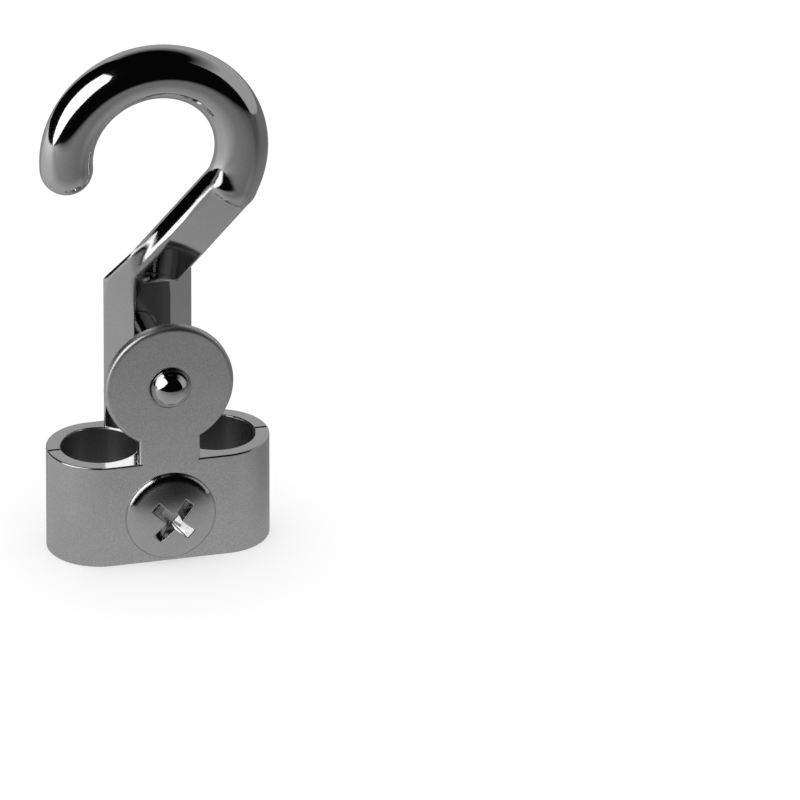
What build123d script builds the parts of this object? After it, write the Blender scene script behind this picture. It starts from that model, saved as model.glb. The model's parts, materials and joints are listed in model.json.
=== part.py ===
from build123d import *
import math
import os

# Rope hook: a two-piece clamp for a looped rope, with an open hook above it.
# X runs across the two rope channels, Y from the front half to the back, Z up.
# The origin is on the base, between the two halves and midway between the channels.

# Clamp block
rope_diameter = 16.0
channel_wall = 3.0
channel_web_wall = 1.25
clamp_height = 22.5
parting_gap = 0.5
clamp_edge_round = 0.3
channel_edge_chamfer = 0.25

# Ear of the front half
ear_thickness = 2.0
ear_radius = 13.5
ear_neck_width = 12.9
ear_edge_round = 0.9

# Pin that carries the rope's loop
pin_rise = 16.9
pin_diameter = 8.0
pin_ear_clearance = 0.1
pin_dome_height = 3.4
pin_rim_step = 0.4
pin_hole_chamfer = 0.4

# Shank of the hook body
shank_flat_width = 7.8
shank_chamfer_width = 5.3
shank_chamfer_depth = 3.9
shank_side_depth = 0.8
shank_back_chamfer = 2.2
shank_edge_round = 0.4
shank_rise = 17.1

# Hook
rod_diameter = 11.0
ring_radius = 18.4
ring_rise = 31.0
ring_shift = -0.6
ring_end_angle = 28.5
tip_angle = 4.0
tip_flat_radius = 0.6
elbow_bulge = 0.1
elbow_overlap = 0.15
bar_flat_depth = 1.8
bar_edge_round = 0.4
shoulder_share = 0.42
shoulder_sink = 0.6
shoulder_fall = 0.9

# Clamp screw
thread_diameter = 6.0
thread_clearance = 0.2
thread_end_wall = 1.5
screw_drop = 0.95
head_margin = 0.8
head_side_height = 0.4
head_dome_height = 3.2
head_edge_round = 0.3
cross_length = 12.4
cross_tip_length = 3.2
cross_width = 2.3
cross_depth = 4.15
cross_turn = 47.5

channel_radius = rope_diameter / 2
channel_spacing = rope_diameter + thread_diameter + 2 * channel_web_wall
clamp_thickness = rope_diameter + 2 * channel_wall
front_face = -clamp_thickness / 2
back_face = clamp_thickness / 2
half_gap = parting_gap / 2
pin_radius = pin_diameter / 2
pin_height = clamp_height + pin_rise
shank_width = shank_flat_width + 2 * shank_chamfer_width
shank_side_front = back_face - shank_back_chamfer - shank_side_depth
shank_front = shank_side_front - shank_chamfer_depth
shank_top = pin_height + shank_rise
shoulder_base = shank_top - shoulder_fall * (back_face - shank_side_front)
rod_radius = rod_diameter / 2
ring_height = shank_top + ring_rise
elbow_radius = rod_radius + elbow_bulge
screw_height = clamp_height / 2 - screw_drop
thread_end = back_face - thread_end_wall
head_radius = screw_height - head_margin


def facing_back(y, z):
    """Plane in the middle of the part, with its normal pointing back along +Y."""
    return Plane(origin=(0, y, z), x_dir=(1, 0, 0), z_dir=(0, 1, 0))


def facing_front(y, z):
    """Plane in the middle of the part, with its normal pointing to the front along -Y."""
    return Plane(origin=(0, y, z), x_dir=(1, 0, 0), z_dir=(0, -1, 0))


def cylinder_along_y(radius, y_start, y_end, z):
    return extrude(facing_back(y_start, z) * Circle(radius), y_end - y_start)


def rim_chamfer(radius, chamfer_size, z):
    """Cone that breaks the rim of a hole in the front face."""
    wide = facing_back(front_face, z) * Circle(radius + chamfer_size)
    narrow = facing_back(front_face + chamfer_size, z) * Circle(radius)
    return loft([wide, narrow])


def domed_end(radius, rise, y_face, z):
    """Spherical cap that stands out to the front from a round end."""
    ball_radius = (radius**2 + rise**2) / (2 * rise)
    ball = Pos(0, y_face - rise + ball_radius, z) * Sphere(ball_radius)
    return ball & cylinder_along_y(radius, y_face - rise, y_face, z)


def clamp_half(y_low, y_high):
    """Half of the rounded block between two depths, with its rounded rims and half channels."""
    block = extrude(SlotCenterToCenter(channel_spacing, clamp_thickness), clamp_height)
    block = fillet(block.edges().filter_by(Plane.XY), clamp_edge_round)
    room = Box(channel_spacing + clamp_thickness, y_high - y_low, clamp_height)
    block = block & Pos(0, (y_low + y_high) / 2, clamp_height / 2) * room
    standing = (Align.CENTER, Align.CENTER, Align.MIN)
    channel = Cylinder(channel_radius, clamp_height, align=standing)
    rim = Cone(channel_radius + channel_edge_chamfer, channel_radius, channel_edge_chamfer, align=standing)
    for x in (-channel_spacing / 2, channel_spacing / 2):
        block = block - Pos(x, 0, 0) * channel
        block = block - Pos(x, 0, 0) * rim
        block = block - Pos(x, 0, clamp_height) * Rot(180, 0, 0) * rim
    return block


def shank_section():
    """Eight-sided section whose large front chamfers leave room for the rope's legs."""
    half_back = shank_width / 2 - shank_back_chamfer
    right_side = [
        (shank_flat_width / 2, shank_front),
        (shank_width / 2, shank_side_front),
        (shank_width / 2, back_face - shank_back_chamfer),
        (half_back, back_face),
    ]
    left_side = [(-x, y) for x, y in reversed(right_side)]
    section = make_face(Polyline(*right_side, *left_side, close=True))
    return fillet(section.vertices(), shank_edge_round)


def bar_section():
    """Round rod with a front and a back flat that meet its round sides in soft edges."""
    half_depth = rod_radius - bar_flat_depth
    half_flat = math.sqrt(rod_radius**2 - half_depth**2)
    edges = [
        Line((-half_flat, -half_depth), (half_flat, -half_depth)),
        ThreePointArc((half_flat, -half_depth), (rod_radius, 0), (half_flat, half_depth)),
        Line((half_flat, half_depth), (-half_flat, half_depth)),
        ThreePointArc((-half_flat, half_depth), (-rod_radius, 0), (-half_flat, -half_depth)),
    ]
    section = make_face(edges)
    return fillet(section.vertices(), bar_edge_round)


def shoulder(bar_foot, bar_line, across):
    """Top of the shank, which narrows along the slanted bar and falls off to the back beside it."""
    bar_side = bar_foot + bar_line * shoulder_share
    left_end = bar_side + across.normalized() * (rod_radius - shoulder_sink)
    corner_top = shank_top + shoulder_fall * (shank_side_front - shank_front)
    upright = extrude(Pos(0, 0, shoulder_base) * shank_section(), left_end.Z - shoulder_base)
    front_view = Polyline(
        (-shank_width / 2, shoulder_base),
        (shank_width / 2, shoulder_base),
        (shank_width / 2, corner_top),
        (bar_side.X, bar_side.Z),
        (left_end.X, left_end.Z),
        (-shank_width / 2, corner_top),
        close=True,
    )
    side_view = Polyline(
        (0, shoulder_base),
        (back_face, shoulder_base),
        (back_face, shank_top),
        (back_face + (left_end.Z - shank_top) * bar_line.Y / bar_line.Z, left_end.Z),
        (0, left_end.Z),
        close=True,
    )
    fall = Vector(0, 1, -shoulder_fall) * (back_face - shank_front)
    front_plane = Plane.XZ.offset(-shank_front)
    slope = extrude(front_plane * make_face(front_view), fall.length, dir=fall)
    lean = extrude(Plane.YZ * make_face(side_view), shank_width / 2, both=True)
    return upright & slope & lean


def hook_tip():
    """Half ball, hanging down from the origin, with a small flat at its end."""
    drop = math.sqrt(rod_radius**2 - tip_flat_radius**2)
    middle = rod_radius * math.sqrt(0.5)
    profile = [
        Line((0, 0), (rod_radius, 0)),
        ThreePointArc((rod_radius, 0), (middle, -middle), (tip_flat_radius, -drop)),
        Line((tip_flat_radius, -drop), (0, -drop)),
        Line((0, -drop), (0, 0)),
    ]
    return revolve(Plane.XZ * make_face(profile), Axis.Z)


def hook_ring():
    """Arc of round rod from the end of the bar, over the top, to the rounded tip."""
    section = Pos(ring_radius, 0) * Circle(rod_radius)
    sweep_angle = ring_end_angle + 180 + tip_angle
    ring = Rot(0, ring_end_angle, 0) * revolve(section, Axis((0, 0, 0), (0, -1, 0)), sweep_angle)
    tip = Rot(0, -tip_angle, 0) * Pos(-ring_radius, 0, 0) * hook_tip()
    return Pos(ring_shift, 0, ring_height) * (ring + tip)


def hook_body():
    end_angle = math.radians(ring_end_angle)
    bar_top = Vector(
        ring_shift + ring_radius * math.cos(end_angle),
        0,
        ring_height - ring_radius * math.sin(end_angle),
    )
    bar_foot = Vector(0, (shank_front + back_face) / 2, shank_top)
    bar_line = bar_top - bar_foot
    across = Vector(0, -1, 0).cross(bar_line)

    shank = extrude(Pos(0, 0, clamp_height / 2) * shank_section(), shoulder_base - clamp_height / 2)
    right_and_up = (Align.MIN, Align.CENTER, Align.MIN)
    above_shank = Box(2 * shank_width, clamp_thickness, ring_height, align=right_and_up)
    bar = extrude(Plane(origin=bar_foot, x_dir=across, z_dir=bar_line) * bar_section(), bar_line.length)
    bar = bar & Pos(-shank_width / 2, 0, shank_top) * above_shank
    elbow_reach = math.sqrt(elbow_radius**2 - rod_radius**2) + elbow_overlap
    elbow_start = bar_top - bar_line.normalized() * elbow_reach
    elbow_plane = Plane(origin=elbow_start, x_dir=across, z_dir=bar_line)
    elbow_room = extrude(elbow_plane * Circle(elbow_radius), elbow_reach + elbow_radius)
    elbow = Pos(*bar_top) * Sphere(elbow_radius) & elbow_room

    hook = shoulder(bar_foot, bar_line, across) + bar + elbow + hook_ring()
    body = clamp_half(half_gap, back_face) + shank + hook
    body = body - cylinder_along_y(thread_diameter / 2, half_gap, thread_end, screw_height)
    return body - cylinder_along_y(pin_radius, shank_front, back_face, pin_height)


def front_clamp():
    ear_bottom = clamp_height / 2
    neck = Pos(0, (ear_bottom + pin_height) / 2) * Rectangle(ear_neck_width, pin_height - ear_bottom)
    disc = Pos(0, pin_height) * Circle(ear_radius)
    ear = extrude(facing_front(front_face, 0) * (neck + disc), -ear_thickness)
    ear = fillet(ear.faces().sort_by(Axis.Y)[0].edges(), ear_edge_round)
    half = clamp_half(front_face, -half_gap) + ear
    hole_radius = pin_radius + pin_ear_clearance
    half = half - cylinder_along_y(hole_radius, front_face, front_face + ear_thickness, pin_height)
    half = half - rim_chamfer(hole_radius, pin_hole_chamfer, pin_height)
    screw_hole_radius = thread_diameter / 2 + thread_clearance
    return half - cylinder_along_y(screw_hole_radius, front_face, -half_gap, screw_height)


def rope_pin():
    dome_start = front_face - pin_rim_step
    shaft = cylinder_along_y(pin_radius, dome_start, back_face, pin_height)
    return shaft + domed_end(pin_radius, pin_dome_height, dome_start, pin_height)


def cross_wing():
    """Pair of opposite wings of the cross recess along X, with floors that slope down to its tip."""
    profile = Polyline(
        (-cross_length / 2, 0),
        (cross_length / 2, 0),
        (cross_tip_length / 2, cross_depth),
        (-cross_tip_length / 2, cross_depth),
        close=True,
    )
    return extrude(make_face(profile), cross_width / 2, both=True)


def clamp_screw():
    head_rim = front_face - head_side_height
    crown = head_rim - head_dome_height
    head = cylinder_along_y(head_radius, head_rim, front_face, screw_height)
    head = head + domed_end(head_radius, head_dome_height, head_rim, screw_height)
    rim_edge = head.edges().filter_by(GeomType.CIRCLE).sort_by(Axis.Y)[0]
    head = fillet(rim_edge, head_edge_round)
    screw = head + cylinder_along_y(thread_diameter / 2, front_face, thread_end, screw_height)
    for turn in (cross_turn, cross_turn + 90):
        screw = screw - Pos(0, crown, screw_height) * Rot(0, -turn, 0) * cross_wing()
    return screw


os.makedirs("parts", exist_ok=True)
export_step(hook_body(), "parts/hook_body.step")
export_step(front_clamp(), "parts/front_clamp.step")
export_step(rope_pin(), "parts/rope_pin.step")
export_step(clamp_screw(), "parts/clamp_screw.step")
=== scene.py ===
import json
import math

import bpy
from mathutils import Matrix, Vector


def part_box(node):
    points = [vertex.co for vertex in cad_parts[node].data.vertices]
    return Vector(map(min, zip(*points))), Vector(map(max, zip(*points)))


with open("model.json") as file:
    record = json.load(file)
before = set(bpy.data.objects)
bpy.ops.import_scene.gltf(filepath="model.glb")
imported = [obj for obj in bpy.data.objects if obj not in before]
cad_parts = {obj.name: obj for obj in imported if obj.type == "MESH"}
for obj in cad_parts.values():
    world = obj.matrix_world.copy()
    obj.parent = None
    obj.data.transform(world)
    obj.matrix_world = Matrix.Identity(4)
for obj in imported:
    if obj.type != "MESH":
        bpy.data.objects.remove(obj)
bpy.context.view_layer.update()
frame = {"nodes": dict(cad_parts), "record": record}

mm = 0.001

# Camera: a very long lens far away, so that upright edges stay upright in the picture
picture_size = 800
camera_azimuth = -14.1
camera_elevation = 26.3
camera_distance = 6.8125
camera_lens = 1500.0
camera_reach = 3 * camera_distance
sensor_width = 36.0
aim_point = Vector((0, 0, 50 * mm))
aim_pixel = (157.2, 318.0)

# Dome, softbox and glowing wall of painted light that the plating mirrors, in degrees right of the front and
# above the horizon
tent_radius = 1.2
tent_azimuths = (-180, 180)
tent_elevations = (-40, 90)
tent_steps = 48
tent_strength = 0.002
card_radius = 1.05
softbox_corners = [
    (-83, -5),
    (-92, 2),
    (-103, 24),
    (-104, 46),
    (-96, 61),
    (-60, 61),
    (-44, 57),
    (-33, 45),
    (-48, 26),
    (-67, 6),
]
softbox_strength = 1.7
wall_azimuths = (66, 196)
wall_elevations = (-14, 54)
wall_steps = 24
# painted light: glow of the wall, fading out above wall_painted_light_fade_start of its height
wall_painted_light_strength = 0.4
wall_painted_light_fade_start = 0.72

# Glowing table top that the plating mirrors, painted with light and with the hook's shadow, in metres; a
# pair is a place and the share of light there
table_lift = 0.1 * mm
table_reach = 0.85
table_front = -0.55
table_fade = 0.28
table_painted_light_left = (-0.6, 0.78)
table_painted_light_right = (0.2, 0.24)
table_painted_light_near = (-0.02, 1.0)
table_painted_light_far = (-0.13, 0.55)
# painted shadow of the hook on the table behind it
table_painted_shadow_start = (0.01, 1.0)
table_painted_shadow_end = (0.06, 0.7)

# Floor and world
floor_reach = 6.0
floor_tone = 0.55
floor_glow = 0.5
world_strength = 1.0

# Plating that all four pieces share
plating_tones = (0.7, 0.735)
plating_tint = 1.01
cloud_size = 9 * mm
cloud_detail = 4.0
wave_size = 6 * mm
wave_detail = 1.0
wave_height = 0.012 * mm
grain_size = 0.3 * mm
grain_detail = 2.0
noise_range = (0.3, 0.7)
roughness_spread = 0.2
edge_radius = 0.3 * mm
edge_samples = 16
edge_turn = 0.98

# Plating of each piece
hook_finish = {"roughness": 0.07, "grain_height": 0.0006 * mm, "speckle": 0.04, "edge_wear": 0.05}
clamp_finish = {"roughness": 0.1, "grain_height": 0.005 * mm, "speckle": 0.12, "edge_wear": 0.25}
pin_finish = {"roughness": 0.06, "grain_height": 0.0004 * mm, "speckle": 0.02, "edge_wear": 0.05}
screw_finish = {"roughness": 0.1, "grain_height": 0.001 * mm, "speckle": 0.08, "edge_wear": 0.05}

# Soft hollows where the bar grows out of the shank and into the arc
shoulder_point = Vector((-3.5, 6, 61)) * mm
elbow_point = Vector((14.5, -3, 78)) * mm
hollow_radius = 2.0 * mm
hollow_reach = (7 * mm, 11 * mm)

# Rougher walls of the rope channels with painted shade on them, from the mount at the middle of the right
# one
mounts = {mount["name"]: mount for mount in frame["record"]["mounts"]}
right_channel = mounts["rope_channel_right"]
channel_margin = 0.1 * mm
channel_offset = right_channel["pos_m"][0]
channel_edge = right_channel["dims"]["r_mm"] * mm + channel_margin
channel_top = 2 * right_channel["pos_m"][2] - channel_margin
# painted shade: share of the tone left on the walls of the rope channels
channel_painted_shade_tone = 0.75
channel_roughness = 0.25

# Rubbed rim of the ear, whose middle is the pin, and painted shade on the ear's back
ear_rim = (12.3 * mm, 12.7 * mm)
ear_rim_foot = 27.6 * mm
ear_rim_roughness = 0.3
# painted shade: where the ear faces backwards along Y, its tone drops to this share
ear_back_painted_shade_facing = (0.4, 0.6)
ear_back_painted_shade_tone = 0.3

# Matt dome and round polished rim of the screw's head
screw_rim = (7.9 * mm, 8.6 * mm)
screw_rim_radius = 1.1 * mm
dome_facing = (-0.76, -0.8)
dome_roughness = 0.24


def place_camera():
    azimuth = math.radians(camera_azimuth)
    elevation = math.radians(camera_elevation)
    towards = Vector((
        math.sin(azimuth) * math.cos(elevation),
        -math.cos(azimuth) * math.cos(elevation),
        math.sin(elevation),
    ))
    right = Vector((math.cos(azimuth), math.sin(azimuth), 0))
    up = towards.cross(right)
    metres_per_pixel = camera_distance * sensor_width / camera_lens / picture_size
    offset_right = (picture_size / 2 - aim_pixel[0]) * metres_per_pixel
    offset_up = (aim_pixel[1] - picture_size / 2) * metres_per_pixel
    camera = bpy.data.objects.new("camera", bpy.data.cameras.new("camera"))
    camera.data.lens = camera_lens
    camera.data.sensor_width = sensor_width
    camera.data.clip_end = camera_reach
    axes = Matrix((right, up, towards)).transposed().to_4x4()
    place = aim_point + towards * camera_distance + right * offset_right + up * offset_up
    camera.matrix_world = Matrix.Translation(place) @ axes
    bpy.context.scene.collection.objects.link(camera)
    bpy.context.scene.camera = camera


def add_node(tree, kind, inputs=None, **settings):
    """New shader node; an input is given a value, or a socket to link it to."""
    node = tree.nodes.new(kind)
    for name, value in settings.items():
        setattr(node, name, value)
    for name, value in (inputs or {}).items():
        if isinstance(value, bpy.types.NodeSocket):
            tree.links.new(value, node.inputs[name])
        else:
            node.inputs[name].default_value = value
    return node


def new_material(name):
    material = bpy.data.materials.new(name)
    material.use_nodes = True
    material.node_tree.nodes.clear()
    return material, material.node_tree


def finish_material(tree, shader):
    add_node(tree, "ShaderNodeOutputMaterial", {"Surface": shader.outputs[0]})


def ramp(tree, value, start, end):
    """Value that runs from one (place, strength) pair to another and stays level outside them."""
    node = add_node(
        tree,
        "ShaderNodeMapRange",
        {"Value": value, "From Min": start[0], "From Max": end[0], "To Min": start[1], "To Max": end[1]},
    )
    return node.outputs[0]


def arithmetic(tree, operation, first, second=0.0):
    return add_node(tree, "ShaderNodeMath", {0: first, 1: second}, operation=operation).outputs[0]


def noise(tree, place, size, detail):
    texture = add_node(tree, "ShaderNodeTexNoise", {"Vector": place, "Scale": 1 / size, "Detail": detail})
    return texture.outputs["Fac"]


def glowing_card(name, strength):
    material, tree = new_material(name)
    finish_material(tree, add_node(tree, "ShaderNodeEmission", {"Strength": strength}))
    return material


def painted_light_wall_material():
    """Glowing grey wall of painted light that falls into the dark towards its top."""
    material, tree = new_material("painted_light_grey_wall")
    place = add_node(tree, "ShaderNodeTexCoord")
    height = add_node(tree, "ShaderNodeSeparateXYZ", {0: place.outputs["Generated"]})
    fade = ramp(tree, height.outputs["Z"], (wall_painted_light_fade_start, wall_painted_light_strength), (1.0, 0.0))
    finish_material(tree, add_node(tree, "ShaderNodeEmission", {"Strength": fade}))
    return material


def painted_light_table_material():
    """Glowing grey table top with painted light: lighter towards the softbox, a painted shadow behind the
    hook, faded out at its front edge.
    """
    material, tree = new_material("painted_light_grey_table")
    place = add_node(tree, "ShaderNodeTexCoord")
    axes = add_node(tree, "ShaderNodeSeparateXYZ", {0: place.outputs["Object"]})
    across = axes.outputs["X"]
    along = axes.outputs["Y"]
    # painted light: a pool of light towards the softbox that fades away from the hook
    strength = ramp(tree, across, table_painted_light_left, table_painted_light_right)
    factors = [
        ramp(tree, along, table_painted_light_far, table_painted_light_near),
        ramp(tree, arithmetic(tree, "ADD", across, along), table_painted_shadow_start, table_painted_shadow_end),
        ramp(tree, along, (table_front, 0.0), (table_front + table_fade, 1.0)),
    ]
    for factor in factors:
        strength = arithmetic(tree, "MULTIPLY", strength, factor)
    finish_material(tree, add_node(tree, "ShaderNodeEmission", {"Strength": strength}))
    return material


def floor_material():
    """Pale floor that is white to the camera and keeps the hook's soft shadow."""
    material, tree = new_material("pale_floor")
    diffuse = add_node(tree, "ShaderNodeBsdfDiffuse", {"Color": (floor_tone, floor_tone, floor_tone, 1)})
    seen = add_node(tree, "ShaderNodeLightPath").outputs["Is Camera Ray"]
    glow = add_node(tree, "ShaderNodeEmission", {"Strength": arithmetic(tree, "MULTIPLY", seen, floor_glow)})
    finish_material(tree, add_node(tree, "ShaderNodeAddShader", {0: diffuse.outputs[0], 1: glow.outputs[0]}))
    return material


def add_stage_mesh(name, verts, faces, material):
    mesh = bpy.data.meshes.new(name)
    mesh.from_pydata(verts, [], faces)
    mesh.materials.append(material)
    piece = bpy.data.objects.new(name, mesh)
    bpy.context.scene.collection.objects.link(piece)
    return piece


def reflection_only(piece):
    piece.visible_camera = False
    piece.visible_diffuse = False
    piece.visible_shadow = False
    piece.visible_transmission = False


def seen_towards(azimuth, elevation, radius):
    """Point of a dome around the hook, by degrees right of the front and above the horizon."""
    azimuth = math.radians(azimuth)
    elevation = math.radians(elevation)
    return (
        radius * math.sin(azimuth) * math.cos(elevation),
        -radius * math.cos(azimuth) * math.cos(elevation),
        radius * math.sin(elevation) + aim_point.z,
    )


def tent_patch(name, azimuths, elevations, radius, steps, material):
    """Piece of a large dome around the hook, seen only in reflections."""
    verts = []
    faces = []
    row = steps + 1
    for i in range(row):
        azimuth = azimuths[0] + (azimuths[1] - azimuths[0]) * i / steps
        for j in range(row):
            elevation = elevations[0] + (elevations[1] - elevations[0]) * j / steps
            verts.append(seen_towards(azimuth, elevation, radius))
    for i in range(steps):
        for j in range(steps):
            corner = i * row + j
            faces.append((corner, corner + row, corner + row + 1, corner + 1))
    reflection_only(add_stage_mesh(name, verts, faces, material))


def softbox():
    """White card of the shape that the arc mirrors, as a fan of triangles round its middle."""
    count = len(softbox_corners)
    middle = [sum(corner[axis] for corner in softbox_corners) / count for axis in (0, 1)]
    verts = [seen_towards(*corner, card_radius) for corner in [middle, *softbox_corners]]
    faces = [(0, i + 1, (i + 1) % count + 1) for i in range(count)]
    reflection_only(add_stage_mesh("softbox", verts, faces, glowing_card("softbox_face", softbox_strength)))


def flat_sheet(name, low, high, height, material):
    corners = [(low[0], low[1]), (high[0], low[1]), (high[0], high[1]), (low[0], high[1])]
    return add_stage_mesh(name, [(x, y, height) for x, y in corners], [(0, 1, 2, 3)], material)


def build_stage():
    cloth = glowing_card("black_cloth", tent_strength)
    tent_patch("black_tent", tent_azimuths, tent_elevations, tent_radius, tent_steps, cloth)
    softbox()
    tent_patch("painted_light_side_wall", wall_azimuths, wall_elevations, card_radius, wall_steps, painted_light_wall_material())
    table_low = (-table_reach, table_front)
    table_high = (table_reach, table_reach)
    reflection_only(flat_sheet("table", table_low, table_high, table_lift, painted_light_table_material()))
    floor_low = (-floor_reach, -floor_reach)
    floor_high = (floor_reach, floor_reach)
    floor = flat_sheet("floor", floor_low, floor_high, 0, floor_material())
    floor.visible_glossy = False


def white_world():
    world = bpy.data.worlds.new("studio")
    bpy.context.scene.world = world
    world.use_nodes = True
    background = world.node_tree.nodes["Background"]
    background.inputs["Color"].default_value = (1, 1, 1, 1)
    background.inputs["Strength"].default_value = world_strength


def surface_normal(tree):
    return add_node(tree, "ShaderNodeNewGeometry").outputs["Normal"]


def facing_mask(tree, limits):
    """Zero to one as the share of the surface's normal along Y goes from the first limit to the second."""
    axes = add_node(tree, "ShaderNodeSeparateXYZ", {0: surface_normal(tree)})
    return ramp(tree, axes.outputs["Y"], (limits[0], 0.0), (limits[1], 1.0))


def rim_mask(tree, place, node_name, rim):
    """Zero to one over a ring round a turned piece, whose axis runs along Y."""
    low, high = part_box(node_name)
    axis = (low + high) / 2
    axis.y = 0
    flat = add_node(tree, "ShaderNodeVectorMath", {0: place, 1: (1, 0, 1)}, operation="MULTIPLY")
    reach = add_node(tree, "ShaderNodeVectorMath", {0: flat.outputs[0], 1: axis}, operation="DISTANCE")
    return ramp(tree, reach.outputs["Value"], (rim[0], 0.0), (rim[1], 1.0))


def channel_mask(tree, place):
    """One on the walls of the two rope channels."""
    axes = add_node(tree, "ShaderNodeSeparateXYZ", {0: place})
    from_axis = arithmetic(tree, "SUBTRACT", arithmetic(tree, "ABSOLUTE", axes.outputs["X"]), channel_offset)
    flat = add_node(tree, "ShaderNodeCombineXYZ", {"X": from_axis, "Y": axes.outputs["Y"]})
    reach = add_node(tree, "ShaderNodeVectorMath", {0: flat.outputs[0]}, operation="LENGTH")
    in_channel = arithmetic(tree, "LESS_THAN", reach.outputs["Value"], channel_edge)
    low = arithmetic(tree, "LESS_THAN", axes.outputs["Z"], channel_top)
    return arithmetic(tree, "MULTIPLY", in_channel, low)


def hollow_edges(tree, place):
    """Radius of the softened edges, large where the bar grows out of the shank and into the arc."""
    distances = []
    for point in (shoulder_point, elbow_point):
        distance = add_node(tree, "ShaderNodeVectorMath", {0: place, 1: point}, operation="DISTANCE")
        distances.append(distance.outputs["Value"])
    nearest = arithmetic(tree, "MINIMUM", *distances)
    return ramp(tree, nearest, (hollow_reach[0], hollow_radius), (hollow_reach[1], edge_radius))


def screw_edges(tree, place):
    """Radius of the softened edges, large round the rim of the screw's head."""
    rim = rim_mask(tree, place, "clamp_screw", screw_rim)
    return ramp(tree, rim, (0.0, edge_radius), (1.0, screw_rim_radius))


def ear_rim_wear(tree, place):
    """Roughness added on the rounded rim of the ear, above its neck."""
    height = add_node(tree, "ShaderNodeSeparateXYZ", {0: place}).outputs["Z"]
    above = arithmetic(tree, "GREATER_THAN", height, ear_rim_foot)
    rim = arithmetic(tree, "MULTIPLY", above, rim_mask(tree, place, "rope_pin", ear_rim))
    return ramp(tree, rim, (0.0, 0.0), (1.0, ear_rim_roughness))


def dome_wear(tree, place):
    """Roughness added on the dome of the screw's head, but not on its rim or in its recess."""
    rim = rim_mask(tree, place, "clamp_screw", screw_rim)
    inside_rim = ramp(tree, rim, (0.0, dome_roughness), (1.0, 0.0))
    return arithmetic(tree, "MULTIPLY", facing_mask(tree, dome_facing), inside_rim)


def ear_back_painted_shade(tree):
    """Share of the tone that is left under the painted shade, which is low on the back of the ear."""
    return ramp(tree, facing_mask(tree, ear_back_painted_shade_facing), (0.0, 1.0), (1.0, ear_back_painted_shade_tone))


def plating_roughness(tree, finish, clouds, soft, channels):
    """Roughness that follows the clouds and grows on worn edges and in the rope channels."""
    smooth = (noise_range[0], (1 - roughness_spread) * finish["roughness"])
    rough = (noise_range[1], (1 + roughness_spread) * finish["roughness"])
    cloudy = ramp(tree, clouds, smooth, rough)
    normal = surface_normal(tree)
    turn = add_node(tree, "ShaderNodeVectorMath", {0: soft, 1: normal}, operation="DOT_PRODUCT")
    worn = ramp(tree, turn.outputs["Value"], (edge_turn, finish["edge_wear"]), (1.0, 0.0))
    dull = ramp(tree, channels, (0.0, 0.0), (1.0, channel_roughness))
    return arithmetic(tree, "ADD", arithmetic(tree, "ADD", cloudy, worn), dull)


def plating_colour(tree, finish, clouds, grain, channels, painted_shade):
    """Neutral tone with faint clouds and a fine speckle, and painted shade in the rope channels and where
    the piece's shade function puts it.
    """
    tones = add_node(tree, "ShaderNodeValToRGB", {"Fac": clouds})
    for stop, position, tone in zip(tones.color_ramp.elements, noise_range, plating_tones):
        stop.position = position
        stop.color = (tone, tone, tone * plating_tint, 1)
    dark_spot = (noise_range[0], 1 - finish["speckle"])
    light_spot = (noise_range[1], 1 + finish["speckle"])
    spots = ramp(tree, grain, dark_spot, light_spot)
    # painted shade: the tone is darker on the walls of the rope channels
    value = arithmetic(tree, "MULTIPLY", spots, ramp(tree, channels, (0.0, 1.0), (1.0, channel_painted_shade_tone)))
    # painted shade: the piece's shade function darkens the tone here
    if painted_shade:
        value = arithmetic(tree, "MULTIPLY", value, painted_shade(tree))
    colour = add_node(tree, "ShaderNodeHueSaturation", {"Color": tones.outputs["Color"], "Value": value})
    return colour.outputs[0]


def plating_bump(tree, finish, place, grain, soft):
    """Slow waves of the casting, and on them the fine grain."""
    height = noise(tree, place, wave_size, wave_detail)
    waves = add_node(tree, "ShaderNodeBump", {"Height": height, "Distance": wave_height, "Normal": soft})
    grains = add_node(
        tree,
        "ShaderNodeBump",
        {"Height": grain, "Distance": finish["grain_height"], "Normal": waves.outputs[0]},
    )
    return grains.outputs[0]


def plated_metal(name, finish, edges=None, wear=None, painted_shade=None):
    """Bright plating on a casting; edges and wear are functions for what one piece has of its own, and the
    shade function paints shade into one piece's tone.
    """
    material, tree = new_material(name)
    place = add_node(tree, "ShaderNodeTexCoord").outputs["Object"]
    clouds = noise(tree, place, cloud_size, cloud_detail)
    grain = noise(tree, place, grain_size, grain_detail)
    channels = channel_mask(tree, place)
    width = edges(tree, place) if edges else edge_radius
    soft = add_node(tree, "ShaderNodeBevel", {"Radius": width}, samples=edge_samples).outputs[0]
    roughness = plating_roughness(tree, finish, clouds, soft, channels)
    if wear:
        roughness = arithmetic(tree, "ADD", roughness, wear(tree, place))
    shader = add_node(
        tree,
        "ShaderNodeBsdfPrincipled",
        {
            "Metallic": 1.0,
            "Base Color": plating_colour(tree, finish, clouds, grain, channels, painted_shade),
            "Roughness": roughness,
            "Normal": plating_bump(tree, finish, place, grain, soft),
        },
    )
    finish_material(tree, shader)
    return material


def dress(node_name, material):
    for slot in frame["nodes"][node_name].material_slots:
        slot.material = material


place_camera()
build_stage()
white_world()
dress("hook_body", plated_metal("hook_plating_finish", hook_finish, edges=hollow_edges))
clamp_plating = plated_metal("clamp_plating_finish", clamp_finish, wear=ear_rim_wear, painted_shade=ear_back_painted_shade)
dress("front_clamp", clamp_plating)
dress("rope_pin", plated_metal("pin_plating_finish", pin_finish))
dress("clamp_screw", plated_metal("screw_plating_finish", screw_finish, edges=screw_edges, wear=dome_wear))
bpy.context.scene.view_settings.view_transform = "Standard"
